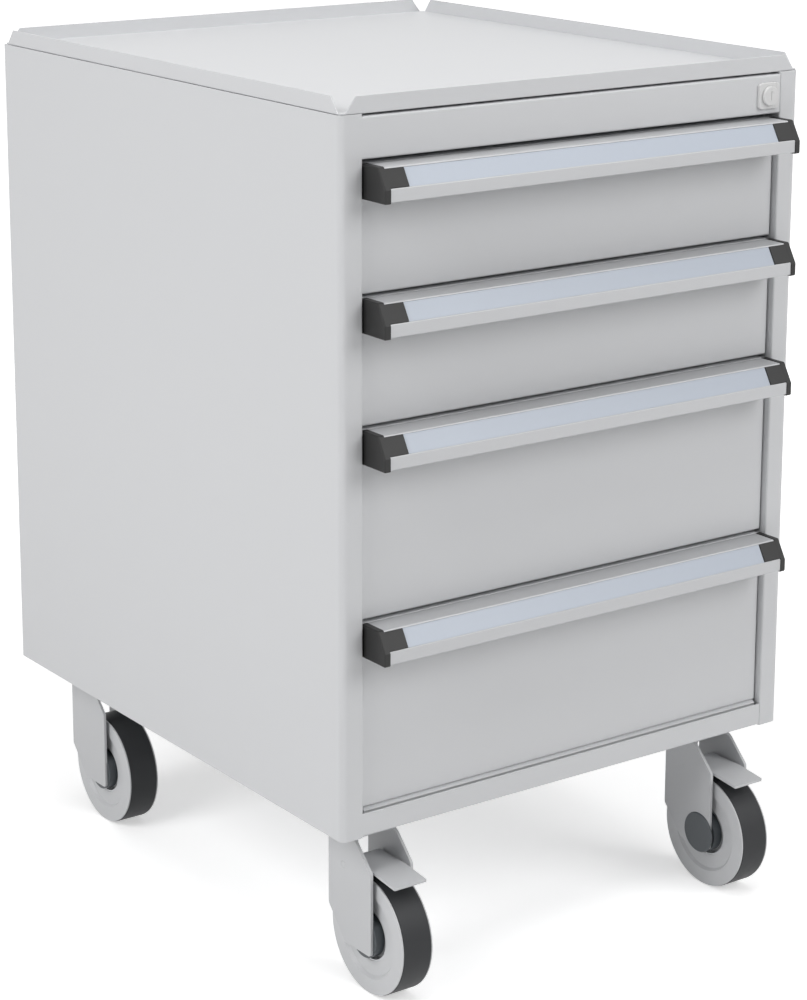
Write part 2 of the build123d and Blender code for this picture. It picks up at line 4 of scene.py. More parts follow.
import bmesh
import bpy
from bpy.props import FloatProperty, FloatVectorProperty, IntProperty, PointerProperty
from bpy.types import Operator, Panel, PropertyGroup
from mathutils import Matrix, Vector


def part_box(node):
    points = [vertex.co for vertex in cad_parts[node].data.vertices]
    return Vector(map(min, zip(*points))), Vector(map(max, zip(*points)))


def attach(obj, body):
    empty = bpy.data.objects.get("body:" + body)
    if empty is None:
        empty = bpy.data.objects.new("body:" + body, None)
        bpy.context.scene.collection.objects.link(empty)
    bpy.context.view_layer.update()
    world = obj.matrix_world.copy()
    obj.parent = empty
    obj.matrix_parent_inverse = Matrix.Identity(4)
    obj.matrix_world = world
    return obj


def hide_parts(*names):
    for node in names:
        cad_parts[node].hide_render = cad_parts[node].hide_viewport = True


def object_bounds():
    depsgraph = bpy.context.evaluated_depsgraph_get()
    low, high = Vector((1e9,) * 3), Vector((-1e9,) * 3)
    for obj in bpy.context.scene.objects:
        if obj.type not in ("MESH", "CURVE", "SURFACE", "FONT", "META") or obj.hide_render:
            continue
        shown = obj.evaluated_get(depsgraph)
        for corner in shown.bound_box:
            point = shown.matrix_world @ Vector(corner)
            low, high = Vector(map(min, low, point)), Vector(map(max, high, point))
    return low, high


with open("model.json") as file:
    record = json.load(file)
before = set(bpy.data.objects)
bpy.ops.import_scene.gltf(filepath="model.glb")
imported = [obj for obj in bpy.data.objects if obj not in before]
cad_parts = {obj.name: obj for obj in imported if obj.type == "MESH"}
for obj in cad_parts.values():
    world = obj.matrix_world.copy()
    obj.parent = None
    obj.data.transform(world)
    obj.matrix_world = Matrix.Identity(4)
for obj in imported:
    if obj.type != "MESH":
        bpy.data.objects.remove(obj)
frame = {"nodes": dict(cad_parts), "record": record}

bl_info = {
    "name": "Mobile Drawer Unit",
    "version": (1, 0, 0),
    "blender": (4, 5, 0),
    "location": "View3D > Sidebar > Drawer Unit",
    "description": "Finishes a mobile drawer unit: rounded edges, materials, studio and camera",
    "category": "Object",
}

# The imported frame: its box, and the body and material slot of every node
MM = 0.001
CAD_BOX = [list(corner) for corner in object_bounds()]
BODY_OF = {
    node: body for body, nodes in frame["record"]["behaviour"]["bodies"].items() for node in nodes
}
SLOT_OF = {row["node"]: row["material_slot"] for row in frame["record"]["subparts"]}
DRAWERS = tuple(f"drawer_{number}" for number in range(1, 5))
CASTORS = tuple(f"castor_{corner}" for corner in ("fl", "fr", "rl", "rr"))

# Vertices closer than this are one, and faces closer in slope than this are one flat face
MERGE_DISTANCE = 0.001 * MM
FLAT_ANGLE = radians(0.3)
# Edges sharper than this are rounded off, and those still sharper than the second stay crisp
EDGE_ANGLE = radians(35)
SHADE_ANGLE = radians(50)
# Sockets of a colour Mix node, which share their names with those of its other kinds
MIX_FIRST = 6
MIX_SECOND = 7
MIX_RESULT = 2


def linear(code):
    """An sRGB hex colour as scene-linear red, green and blue."""
    levels = (int(code[place:place + 2], 16) / 255 for place in (0, 2, 4))
    return tuple(
        level / 12.92 if level <= 0.04045 else ((level + 0.055) / 1.055) ** 2.4 for level in levels
    )


def colour_prop(name, description, code):
    """A colour that a user may change, with its default as an sRGB hex code."""
    return FloatVectorProperty(
        name=name, description=description, subtype="COLOR", min=0, max=1, default=linear(code)
    )


def length_prop(name, description, millimetres):
    """A length that a user may change, with its default in millimetres."""
    return FloatProperty(
        name=name, description=description, subtype="DISTANCE", unit="LENGTH", min=0,
        default=millimetres * MM, precision=5,
    )


class DrawerUnitEdges(PropertyGroup):
    """How far the edges of each kind of piece are rounded."""

    sheet: length_prop("Sheet edge", "Rounding of cut and painted sheet steel edges", 0.35)
    extrusion: length_prop("Grip edge", "Rounding of the aluminium grip's corners", 0.35)
    moulding: length_prop("Moulded edge", "Rounding of moulded plastic edges", 0.5)
    wheel: length_prop("Wheel edge", "Rounding of the wheels' and the tyres' edges", 0.25)
    cap: length_prop("End cap edge", "Rounding of the outer edges of the grips' end caps", 1.3)
    fork: length_prop("Fork edge", "Rounding of the castors' pressed steel", 0.6)
    runner: length_prop("Runner edge", "Rounding of the runners' rolled steel", 0.45)
    fastener: length_prop("Fastener edge", "Rounding of bolts, plates and lock parts", 0.3)
    segments: IntProperty(
        name="Edge segments", description="Faces across each rounded edge", min=1, max=6, default=2
    )


class DrawerUnitColours(PropertyGroup):
    """The colours of the finishes."""

    body: colour_prop("Body", "Powder coat of the cabinet and the drawer fronts", "D3D4D6")
    drawer: colour_prop("Drawer boxes", "Powder coat of the drawer boxes", "CFD0D2")
    castor: colour_prop("Castors", "Coat of the forks and the brake pedals", "C8C9CB")
    wheel: colour_prop("Wheel", "Moulded wheel cores", "D0D1D3")
    tyre: colour_prop("Tyre", "Rubber tyres", "343537")
    hub: colour_prop("Hub", "Thread guards and axle caps", "4B5054")
    grip: colour_prop("Grip", "Anodised aluminium grips", "BEBFC1")
    label: colour_prop("Label", "Label strips in the grips", "B4BCC8")
    cap: colour_prop("End cap", "End caps of the grips", "272727")
    lock: colour_prop("Lock", "Lock plate and key barrel", "DADADA")
    zinc: colour_prop("Zinc", "Plated steel of runners, posts and bolts", "C6C8CA")
    floor: colour_prop("Floor", "Studio floor", "F2F2F2")


class DrawerUnitStudio(PropertyGroup):
    """The lamps, in the strengths that render a colour about as it is written, and the camera."""

    ambient: FloatProperty(
        name="Ambient", description="Strength of the even light from all around", min=0, default=0.15
    )
    top_power: FloatProperty(
        name="Top lamp", description="Power of the soft lamp overhead", unit="POWER", min=0, default=41
    )
    side_power: FloatProperty(
        name="Side lamp", description="Power of the soft lamp on the left", unit="POWER", min=0, default=66
    )
    front_power: FloatProperty(
        name="Front lamp", description="Power of the soft lamp in front", unit="POWER", min=0, default=57
    )
    camera_place: FloatVectorProperty(
        name="Camera place", description="Where the camera stands", subtype="XYZ",
        default=(-1.4919, -2.0937, 1.1221),
    )
    camera_turn: FloatProperty(
        name="Camera turn", description="Angle round the unit", subtype="ANGLE", default=radians(-35.566)
    )
    camera_rise: FloatProperty(
        name="Camera rise", description="Angle above the floor", subtype="ANGLE", default=radians(12.998)
    )
    camera_roll: FloatProperty(
        name="Camera roll", description="Tilt of the image", subtype="ANGLE", default=radians(0.133)
    )
    camera_lens: FloatProperty(
        name="Lens", description="Focal length in millimetres on a 36 mm high sensor", default=97.717
    )
    camera_shift: FloatVectorProperty(
        name="Shift", description="Image shift across and up", size=2, default=(0.0012, -0.1674)
    )


def add_node(tree, kind, settings=(), **inputs):
    """Adds a shader node, applies its settings, and sets or links its inputs."""
    node = tree.nodes.new(kind)
    for name, value in dict(settings).items():
        setattr(node, name, value)
    for name, value in inputs.items():
        socket = node.inputs[name.replace("_", " ")]
        if isinstance(value, bpy.types.NodeSocket):
            tree.links.new(value, socket)
        else:
            socket.default_value = value
    return node


def cells(millimetres):
    """The scale of a texture whose cells are this wide."""
    return 1 / (millimetres * MM)


def new_material(name, colour, metallic, roughness, gloss=0.5):
    """A material with a plain shader, ready for its texture. Returns it, its tree and its shader."""
    material = bpy.data.materials.new(name)
    material.use_nodes = True
    tree = material.node_tree
    shader = tree.nodes["Principled BSDF"]
    shader.inputs["Base Color"].default_value = (*colour, 1)
    shader.inputs["Metallic"].default_value = metallic
    shader.inputs["Roughness"].default_value = roughness
    shader.inputs["Specular IOR Level"].default_value = gloss
    return material, tree, shader


def vary(tree, shader, colour, noise, spread, roughness):
    """Lets a noise drift the colour by a spread and the roughness between two values."""
    smooth, rough = roughness
    share = noise.outputs["Fac"]
    tint = add_node(tree, "ShaderNodeMix", {"data_type": "RGBA"}, Factor=share)
    tint.inputs[MIX_FIRST].default_value = (*(level * (1 - spread) for level in colour), 1)
    tint.inputs[MIX_SECOND].default_value = (*colour, 1)
    tree.links.new(tint.outputs[MIX_RESULT], shader.inputs["Base Color"])
    sheen = add_node(tree, "ShaderNodeMapRange", Value=share, To_Min=smooth, To_Max=rough)
    tree.links.new(sheen.outputs["Result"], shader.inputs["Roughness"])


def raise_surface(tree, shader, height, depth, strength):
    """Gives the surface a fine relief of this depth in millimetres."""
    bump = add_node(tree, "ShaderNodeBump", Height=height, Distance=depth * MM, Strength=strength)
    tree.links.new(bump.outputs["Normal"], shader.inputs["Normal"])


def powder_coat(name, colour):
    """Polyester powder baked on steel: an even satin skin with a faint orange peel."""
    material, tree, shader = new_material(name, colour, metallic=0, roughness=0.42)
    coords = add_node(tree, "ShaderNodeTexCoord").outputs["Object"]
    drift = add_node(tree, "ShaderNodeTexNoise", Vector=coords, Scale=cells(120), Detail=2)
    vary(tree, shader, colour, drift, spread=0.02, roughness=(0.38, 0.46))
    # Real peel is about 1 mm from crest to crest, drawn at 2.5 mm so that it shows
    peel = add_node(tree, "ShaderNodeTexNoise", Vector=coords, Scale=cells(2.5), Detail=1)
    raise_surface(tree, shader, peel.outputs["Fac"], depth=0.02, strength=0.5)
    return material


def anodised_aluminium(name, colour):
    """Extruded aluminium, etched matt and anodised: pale silver with fine die lines along its length."""
    material, tree, shader = new_material(name, colour, metallic=0.3, roughness=0.5)
    coords = add_node(tree, "ShaderNodeTexCoord").outputs["Object"]
    # Die lines run along X: long cells that way, and 0.8 mm across, wider than real so that they show
    drawn = add_node(tree, "ShaderNodeMapping", Vector=coords, Scale=(cells(300), cells(0.8), cells(0.8)))
    lines = add_node(tree, "ShaderNodeTexNoise", Vector=drawn.outputs["Vector"], Scale=1, Detail=3)
    vary(tree, shader, colour, lines, spread=0.05, roughness=(0.46, 0.56))
    raise_surface(tree, shader, lines.outputs["Fac"], depth=0.006, strength=0.6)
    return material


def label_card(name, colour):
    """Tinted card under a clear film: a soft matt colour below a thin gloss."""
    material, tree, shader = new_material(name, colour, metallic=0, roughness=0.5)
    coords = add_node(tree, "ShaderNodeTexCoord").outputs["Object"]
    fibres = add_node(tree, "ShaderNodeTexNoise", Vector=coords, Scale=cells(3), Detail=4)
    vary(tree, shader, colour, fibres, spread=0.03, roughness=(0.45, 0.55))
    shader.inputs["Coat Weight"].default_value = 0.4
    shader.inputs["Coat Roughness"].default_value = 0.25
    return material


def moulded_plastic(name, colour, grain, roughness, gloss=0.5):
    """Injection-moulded plastic: the fine spark-eroded grain of its mould and a low sheen."""
    mean = sum(roughness) / 2
    material, tree, shader = new_material(name, colour, metallic=0, roughness=mean, gloss=gloss)
    coords = add_node(tree, "ShaderNodeTexCoord").outputs["Object"]
    clouds = add_node(tree, "ShaderNodeTexNoise", Vector=coords, Scale=cells(25), Detail=3)
    vary(tree, shader, colour, clouds, spread=0.06, roughness=roughness)
    spark = add_node(tree, "ShaderNodeTexNoise", Vector=coords, Scale=cells(grain), Detail=2)
    raise_surface(tree, shader, spark.outputs["Fac"], depth=0.02, strength=0.5)
    return material


def tyre_rubber(name, colour):
    """Thermoplastic rubber: dark grey with a soft sheen and a faint rubbed tread."""
    material, tree, shader = new_material(name, colour, metallic=0, roughness=0.5, gloss=0.25)
    coords = add_node(tree, "ShaderNodeTexCoord").outputs["Object"]
    rubbed = add_node(tree, "ShaderNodeTexNoise", Vector=coords, Scale=cells(9), Detail=4)
    vary(tree, shader, colour, rubbed, spread=0.12, roughness=(0.42, 0.58))
    raise_surface(tree, shader, rubbed.outputs["Fac"], depth=0.03, strength=0.4)
    return material


def zinc_plate(name, colour):
    """Bright zinc plating on pressed steel: a cool mirror, softened and slightly mottled."""
    material, tree, shader = new_material(name, colour, metallic=1, roughness=0.3)
    coords = add_node(tree, "ShaderNodeTexCoord").outputs["Object"]
    mottle = add_node(tree, "ShaderNodeTexNoise", Vector=coords, Scale=cells(14), Detail=4)
    vary(tree, shader, colour, mottle, spread=0.12, roughness=(0.22, 0.4))
    return material


def lock_enamel(name, colour):
    """Pale enamel on a die casting: smooth, near-white and glossy."""
    material, tree, shader = new_material(name, colour, metallic=0, roughness=0.28)
    coords = add_node(tree, "ShaderNodeTexCoord").outputs["Object"]
    flow = add_node(tree, "ShaderNodeTexNoise", Vector=coords, Scale=cells(6), Detail=2)
    vary(tree, shader, colour, flow, spread=0.03, roughness=(0.24, 0.34))
    return material


def finish(slot):
    """The material of a slot, made when it is first asked for."""
    colours = bpy.context.scene.drawer_unit_colours
    cap_surface = {"grain": 0.9, "roughness": (0.42, 0.52), "gloss": 0.3}
    hub_surface = {"grain": 1.2, "roughness": (0.34, 0.44)}
    wheel_surface = {"grain": 1.6, "roughness": (0.38, 0.48)}
    makers = {
        "body_paint": (powder_coat, "light grey powder coat", colours.body, {}),
        "drawer_paint": (powder_coat, "drawer powder coat", colours.drawer, {}),
        "castor_paint": (powder_coat, "castor coat", colours.castor, {}),
        "lock_white": (lock_enamel, "lock enamel", colours.lock, {}),
        "grip_aluminium": (anodised_aluminium, "anodised aluminium", colours.grip, {}),
        "label_strip": (label_card, "label card", colours.label, {}),
        "cap_black": (moulded_plastic, "black ABS", colours.cap, cap_surface),
        "zinc_steel": (zinc_plate, "zinc plated steel", colours.zinc, {}),
        "hub_slate": (moulded_plastic, "slate nylon", colours.hub, hub_surface),
        "wheel_grey": (moulded_plastic, "grey polypropylene", colours.wheel, wheel_surface),
        "tyre_rubber": (tyre_rubber, "grey tyre rubber", colours.tyre, {}),
    }
    maker, name, colour, surface = makers[slot]
    return bpy.data.materials.get(name) or maker(name, tuple(colour), **surface)


def box_corners(node):
    """The low and the high corner of a node's box."""
    return tuple(Vector(corner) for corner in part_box(node))


def merged_copy(node):
    """A copy of a node's mesh with its triangles joined into flat faces."""
    bm = bmesh.new()
    bm.from_mesh(frame["nodes"][node].data)
    bmesh.ops.remove_doubles(bm, verts=bm.verts, dist=MERGE_DISTANCE)
    bmesh.ops.dissolve_limit(bm, angle_limit=FLAT_ANGLE, verts=bm.verts, edges=bm.edges)
    return bm


def sharp_edges(bm):
    """The edges that a maker would not leave sharp."""
    return [edge for edge in bm.edges if edge.is_manifold and edge.calc_face_angle() > EDGE_ANGLE]


def round_edges(bm, edges, radius, segments):
    """Rounds edges off, by less where they are too close to each other."""
    bmesh.ops.bevel(
        bm, geom=edges, offset=radius, offset_type="OFFSET", segments=segments, profile=0.5,
        affect="EDGES", clamp_overlap=True, material=-1,
    )


def add_piece(bm, name, body, slot, *nodes):
    """Turns a bmesh into a shaded piece that rides on a body and stands for the nodes it replaces."""
    for face in bm.faces:
        face.smooth = True
    for edge in bm.edges:
        edge.smooth = not edge.is_manifold or edge.calc_face_angle() < SHADE_ANGLE
    mesh = bpy.data.meshes.new(name)
    bm.to_mesh(mesh)
    bm.free()
    mesh.materials.append(finish(slot))
    piece = bpy.data.objects.new(name, mesh)
    bpy.context.scene.collection.objects.link(piece)
    level = piece.modifiers.new("Level faces", "WEIGHTED_NORMAL")
    level.keep_sharp = True
    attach(piece, body)
    if nodes:
        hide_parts(*nodes)
    return piece


def shift(bm, vector, chosen):
    """Moves the vertices whose places pass a test, by millimetres."""
    verts = [vert for vert in bm.verts if chosen(vert.co)]
    bmesh.ops.translate(bm, verts=verts, vec=Vector(vector) * MM)


def keep_side(bm, place, towards):
    """Cuts a bmesh at a plane, keeps what lies behind it and closes the cut."""
    bmesh.ops.bisect_plane(
        bm, geom=[*bm.verts, *bm.edges, *bm.faces], plane_co=place, plane_no=towards, clear_outer=True
    )
    rim = [edge for edge in bm.edges if edge.is_boundary]
    bmesh.ops.holes_fill(bm, edges=rim)
    bmesh.ops.recalc_face_normals(bm, faces=bm.faces)


def add_prism(bm, outline, depth):
    """Adds a flat outline and draws it out along a vector. Returns the edges that run that way."""
    corners = [bm.verts.new(corner) for corner in outline]
    face = bm.faces.new(corners)
    drawn = bmesh.ops.extrude_face_region(bm, geom=[face], use_keep_orig=True)["geom"]
    ends = [item for item in drawn if isinstance(item, bmesh.types.BMVert)]
    bmesh.ops.translate(bm, verts=ends, vec=depth)
    return [
        edge for corner in corners for edge in corner.link_edges if edge.other_vert(corner) in ends
    ]


def join(bm, *others):
    """Takes other bmeshes into the first one."""
    mesh = bpy.data.meshes.new("joined")
    for other in others:
        other.to_mesh(mesh)
        other.free()
        bm.from_mesh(mesh)
    bpy.data.meshes.remove(mesh)


def replace_node(bm, node):
    """Turns a bmesh into the piece that stands for a node."""
    add_piece(bm, f"{node}_finished", BODY_OF[node], SLOT_OF[node], node)


def round_nodes(nodes, radius, segments):
    """Replaces each node with a copy of itself that has rounded edges."""
    for node in nodes:
        copy = merged_copy(node)
        round_edges(copy, sharp_edges(copy), radius, segments)
        replace_node(copy, node)


class DRAWER_UNIT_OT_shell(Operator):
    """Finish the cabinet's folded sheets, its top tray, its lock rail and its base"""

    bl_idname = "drawer_unit.shell"
    bl_label = "Cabinet Shell"

    # Millimetres: the tray's sheet, its step in from the body and the rounding of its floor
    tray_sheet = 1.5
    tray_inset = 1.5
    tray_corner = 3.0
    corner_steps = 6
    tray_underside = 0.7
    # Millimetres by which the tray's rims stop short of its corners, below and above
    rim_notch = 5.0
    rim_cut = 15.5
    # Millimetres within which a vertex belongs to a rail's folded edge, and to its face
    fold_reach = 3.0
    face_reach = 1.5
    # Millimetres: how far the lock rail's edges draw back, and a rail laps the flange on its left
    rail_top_draw = 0.5
    rail_bottom_draw = 1.9
    flange_lap = 1.9
    # Millimetres that the base rail's free edge and the sill lie below the solid's highest edge
    slot_drop = 4.7
    sill_drop = 1.7
    # Millimetres: the sill's section, which is a web with a flat top and a sloped lip before it
    base_sheet = 1.5
    sill_sheet = 1.0
    sill_setback = 3.8
    sill_depth = 12.0
    sill_end_gap = 3.0
    lip_depth = 2.5
    lip_fall = 2.2
    lip_edge = 0.3

    def execute(self, context):
        edges = context.scene.drawer_unit_edges
        round_nodes(("side_panel_left", "side_panel_right", "back_panel"), edges.sheet, edges.segments)
        self.add_tray(edges)
        self.add_lock_rail(edges)
        self.add_base(edges)
        return {"FINISHED"}

    def add_tray(self, edges):
        """The top tray: a floor with rounded corners and four rims that leave its corners open."""
        low, high = box_corners("top_tray")
        inset = Vector((1, 1, 0)) * self.tray_inset * MM
        low += inset
        high -= inset
        rim_foot = low.z + self.tray_sheet * MM
        tray = bmesh.new()
        plan = ((low.x, low.y), (high.x, low.y), (high.x, high.y), (low.x, high.y))
        upright = add_prism(tray, [(x, y, low.z) for x, y in plan], (0, 0, self.tray_sheet * MM))
        round_edges(tray, upright, self.tray_corner * MM, self.corner_steps)
        bmesh.ops.recalc_face_normals(tray, faces=tray.faces)
        under = [edge for edge in sharp_edges(tray) if all(vert.co.z == low.z for vert in edge.verts)]
        round_edges(tray, under, self.tray_underside * MM, edges.segments)
        middle = (low + high) / 2
        half = (high - low) / 2
        for quarter in range(4):
            run, reach = (half.x, half.y) if quarter % 2 == 0 else (half.y, half.x)
            rim = self.make_rim(run, reach, rim_foot, high.z, edges)
            turn = Matrix.Rotation(quarter * radians(90), 3, "Z")
            bmesh.ops.rotate(rim, verts=rim.verts, matrix=turn)
            bmesh.ops.translate(rim, verts=rim.verts, vec=(middle.x, middle.y, 0))
            join(tray, rim)
        replace_node(tray, "top_tray")

    def make_rim(self, run, reach, foot, top, edges):
        """A rim of the tray with its free edges rounded, before it is turned to its own side."""
        sheet = self.tray_sheet * MM
        foot_end = run - self.rim_notch * MM
        top_end = run - self.rim_cut * MM
        outline = ((-foot_end, foot), (foot_end, foot), (top_end, top), (-top_end, top))
        rim = bmesh.new()
        add_prism(rim, [(along, -reach, height) for along, height in outline], (0, sheet, 0))
        bmesh.ops.recalc_face_normals(rim, faces=rim.faces)
        free = [edge for edge in rim.edges if max(vert.co.z for vert in edge.verts) > foot + sheet]
        round_edges(rim, free, edges.sheet, edges.segments)
        return rim

    def lap_flange(self, bm, face):
        """Lets a rail's end lap the rounded edge of the flange on its left, which hides the seam."""
        rail_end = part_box("lock_rail")[0][0]
        fold = self.fold_reach * MM
        depth = face + self.face_reach * MM
        shift(bm, (-self.flange_lap, 0, 0), lambda co: abs(co.x - rail_end) < fold and co.y < depth)

    def add_lock_rail(self, edges):
        """The lock rail, with a dark gap above it and a wider one below."""
        low, high = box_corners("lock_rail")
        fold = self.fold_reach * MM
        rail = merged_copy("lock_rail")
        shift(rail, (0, 0, -self.rail_top_draw), lambda co: co.z > high.z - fold)
        shift(rail, (0, 0, self.rail_bottom_draw), lambda co: co.z < low.z + fold)
        self.lap_flange(rail, low.y)
        round_edges(rail, sharp_edges(rail), edges.sheet, edges.segments)
        replace_node(rail, "lock_rail")

    def add_base(self, edges):
        """The base, whose front rail has a free edge with a slot between it and the sill."""
        low, high = box_corners("base_panel")
        base = merged_copy("base_panel")
        keep_side(base, (0, 0, high.z - self.slot_drop * MM), (0, 0, 1))
        self.lap_flange(base, low.y)
        round_edges(base, sharp_edges(base), edges.sheet, edges.segments)
        join(base, self.make_sill(low, high))
        replace_node(base, "base_panel")

    def make_sill(self, low, high):
        """The sill that the lowest drawer front meets."""
        nose = low.y + self.sill_setback * MM
        crest = nose + self.lip_depth * MM
        back = nose + self.sill_depth * MM
        web = nose + self.sill_sheet * MM
        inner = web + self.sill_sheet * MM
        top = high.z - self.sill_drop * MM
        under = top - self.sill_sheet * MM
        tip = top - self.lip_fall * MM
        lip_foot = tip - self.lip_edge * MM
        foot = low.z + self.base_sheet * MM
        section = (
            (nose, lip_foot), (nose, tip), (crest, top), (back, top), (back, under),
            (inner, under), (inner, foot), (web, foot), (web, lip_foot),
        )
        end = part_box("lock_rail")[1][0] - self.sill_end_gap * MM
        sill = bmesh.new()
        add_prism(sill, [(-end, y, z) for y, z in section], (2 * end, 0, 0))
        bmesh.ops.recalc_face_normals(sill, faces=sill.faces)
        return sill


class DRAWER_UNIT_OT_drawers(Operator):
    """Finish the drawer fronts and the boxes behind them"""

    bl_idname = "drawer_unit.drawers"
    bl_label = "Drawers"

    # Millimetres: the reach of a front's lower fold, and how far that fold is raised or let down
    fold_reach = 4.0
    gap_rise = 0.8
    sill_fall = 3.95

    def execute(self, context):
        edges = context.scene.drawer_unit_edges
        for drawer in DRAWERS:
            self.add_front(f"{drawer}_front", edges, drawer == DRAWERS[-1])
            round_nodes((f"{drawer}_box",), edges.sheet, edges.segments)
        return {"FINISHED"}

    def add_front(self, node, edges, is_lowest):
        """A drawer front, raised for a dark gap over the grip below it, or let down to the sill."""
        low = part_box(node)[0]
        front = merged_copy(node)
        rise = -self.sill_fall if is_lowest else self.gap_rise
        shift(front, (0, 0, rise), lambda co: co.z < low[2] + self.fold_reach * MM)
        round_edges(front, sharp_edges(front), edges.sheet, edges.segments)
        replace_node(front, node)


class DRAWER_UNIT_OT_grips(Operator):
    """Finish the aluminium grips with their label strips and end caps"""

    bl_idname = "drawer_unit.grips"
    bl_label = "Grips"

    # Half the seam between a cap's plate and its tab, and the faces across the plate's rounded edges
    seam = 0.02 * MM
    cap_steps = 4
    # Millimetres: where the grip's front begins, and how its nose, strip and tabs differ from the solids
    front_depth = 20.0
    nose_drops = (10.0, 20.0)
    strip_drops = (20.0, 27.0)
    nose_draw = 2.0
    nose_fall = 2.0
    strip_fall = 2.3
    tab_trim = 1.5

    def execute(self, context):
        edges = context.scene.drawer_unit_edges
        for drawer in DRAWERS:
            self.add_strip(drawer, "handle", edges)
            self.add_strip(drawer, "label", edges)
            self.add_caps(drawer, edges)
        return {"FINISHED"}

    def reshape(self, bm, drawer):
        """Draws the grip's front in and lets its slant and its strip fall lower."""
        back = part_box(f"{drawer}_handle")[1]

        def depth(co):
            return (back[1] - co.y) / MM

        def is_front(co, drops):
            return depth(co) > self.front_depth and drops[0] < (back[2] - co.z) / MM < drops[1]

        shift(bm, (0, self.nose_draw, 0), lambda co: depth(co) > self.front_depth)
        # Both sets are chosen before either moves
        falls = (
            [vert for vert in bm.verts if is_front(vert.co, self.nose_drops)],
            [vert for vert in bm.verts if is_front(vert.co, self.strip_drops)],
        )
        for verts, fall in zip(falls, (self.nose_fall, self.strip_fall)):
            bmesh.ops.translate(bm, verts=verts, vec=(0, 0, -fall * MM))

    def trim_tabs(self, bm, drawer):
        """Moves the seams between the label and the tabs outwards."""
        label_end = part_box(f"{drawer}_label")[1][0]
        reach = self.tab_trim * MM
        for side in (-1, 1):
            shift(bm, (side * self.tab_trim, 0, 0), lambda co: abs(co.x * side - label_end) < reach)

    def add_strip(self, drawer, kind, edges):
        """The grip's extrusion or its label strip."""
        node = f"{drawer}_{kind}"
        strip = merged_copy(node)
        self.reshape(strip, drawer)
        if kind == "label":
            self.trim_tabs(strip, drawer)
        round_edges(strip, sharp_edges(strip), edges.extrusion, edges.segments)
        replace_node(strip, node)

    def add_caps(self, drawer, edges):
        """The end caps, each parted at the end of the grip into a plate and a tab."""
        node = f"{drawer}_end_caps"
        grip_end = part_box(f"{drawer}_handle")[1][0]
        caps = bmesh.new()
        for side in (-1, 1):
            plate = self.cut_cap(drawer, side, grip_end + self.seam, True)
            outer = [
                edge for edge in sharp_edges(plate)
                if max(abs(vert.co.x) for vert in edge.verts) > grip_end + 2 * self.seam
            ]
            round_edges(plate, outer, edges.cap, self.cap_steps)
            tab = self.cut_cap(drawer, side, grip_end - self.seam, False)
            free = [
                edge for edge in sharp_edges(tab)
                if min(abs(vert.co.x) for vert in edge.verts) < grip_end - 2 * self.seam
            ]
            round_edges(tab, free, edges.moulding, edges.segments)
            join(caps, plate, tab)
        replace_node(caps, node)

    def cut_cap(self, drawer, side, place, is_plate):
        """One side's plate or tab, cut from the caps at a place along the grip and closed."""
        bm = merged_copy(f"{drawer}_end_caps")
        self.reshape(bm, drawer)
        self.trim_tabs(bm, drawer)
        other = [vert for vert in bm.verts if vert.co.x * side < 0]
        bmesh.ops.delete(bm, geom=other, context="VERTS")
        keep_side(bm, (side * place, 0, 0), (-side if is_plate else side, 0, 0))
        return bm


class DRAWER_UNIT_OT_lock(Operator):
    """Finish the lock plate, the key barrel and the bar behind them"""

    bl_idname = "drawer_unit.lock"
    bl_label = "Central Lock"

    # The plate's outer edge as a share of the solid's, and millimetres round the bore that stay
    plate_share = 0.9
    bore_reach = 9.0
    # Millimetres: the depth of the key barrel's head, and how far it stands back
    head_depth = 3.5
    head_draw = 3.0
    # Millimetres: where the key slot's floor lies in the solid, give or take, and how far it is raised
    slot_depth = 3.0
    slot_margin = 0.1
    slot_fill = 2.3

    def execute(self, context):
        edges = context.scene.drawer_unit_edges
        round_nodes(("lock_bar", "lock_bar_guides"), edges.fastener, edges.segments)
        self.add_plate(edges)
        self.add_barrel(edges)
        return {"FINISHED"}

    def add_plate(self, edges):
        """The lock plate, with its outer edge drawn in round the bore."""
        low, high = box_corners("lock_escutcheon")
        middle = (low + high) / 2
        plate = merged_copy("lock_escutcheon")
        rim = [
            vert for vert in plate.verts
            if hypot(vert.co.x - middle.x, vert.co.z - middle.z) > self.bore_reach * MM
        ]
        share = (self.plate_share, 1, self.plate_share)
        bmesh.ops.scale(plate, vec=share, space=Matrix.Translation(-middle), verts=rim)
        round_edges(plate, sharp_edges(plate), edges.fastener, edges.segments)
        replace_node(plate, "lock_escutcheon")

    def add_barrel(self, edges):
        """The key barrel, with a shorter head and a shallower key slot."""
        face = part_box("lock_barrel")[0][1]
        slot_floor = face + self.slot_depth * MM
        head_end = face + self.head_depth * MM
        barrel = merged_copy("lock_barrel")
        shift(barrel, (0, -self.slot_fill, 0), lambda co: abs(co.y - slot_floor) < self.slot_margin * MM)
        shift(barrel, (0, self.head_draw, 0), lambda co: co.y < head_end)
        round_edges(barrel, sharp_edges(barrel), edges.fastener, edges.segments)
        replace_node(barrel, "lock_barrel")


class DRAWER_UNIT_OT_runners(Operator):
    """Finish the posts and the telescopic runners"""

    bl_idname = "drawer_unit.runners"
    bl_label = "Runners"

    def execute(self, context):
        edges = context.scene.drawer_unit_edges
        round_nodes(("uprights", "cabinet_runners"), edges.runner, edges.segments)
        for drawer in DRAWERS:
            round_nodes((f"{drawer}_runners", f"{drawer}_mid_runners"), edges.runner, edges.segments)
        return {"FINISHED"}


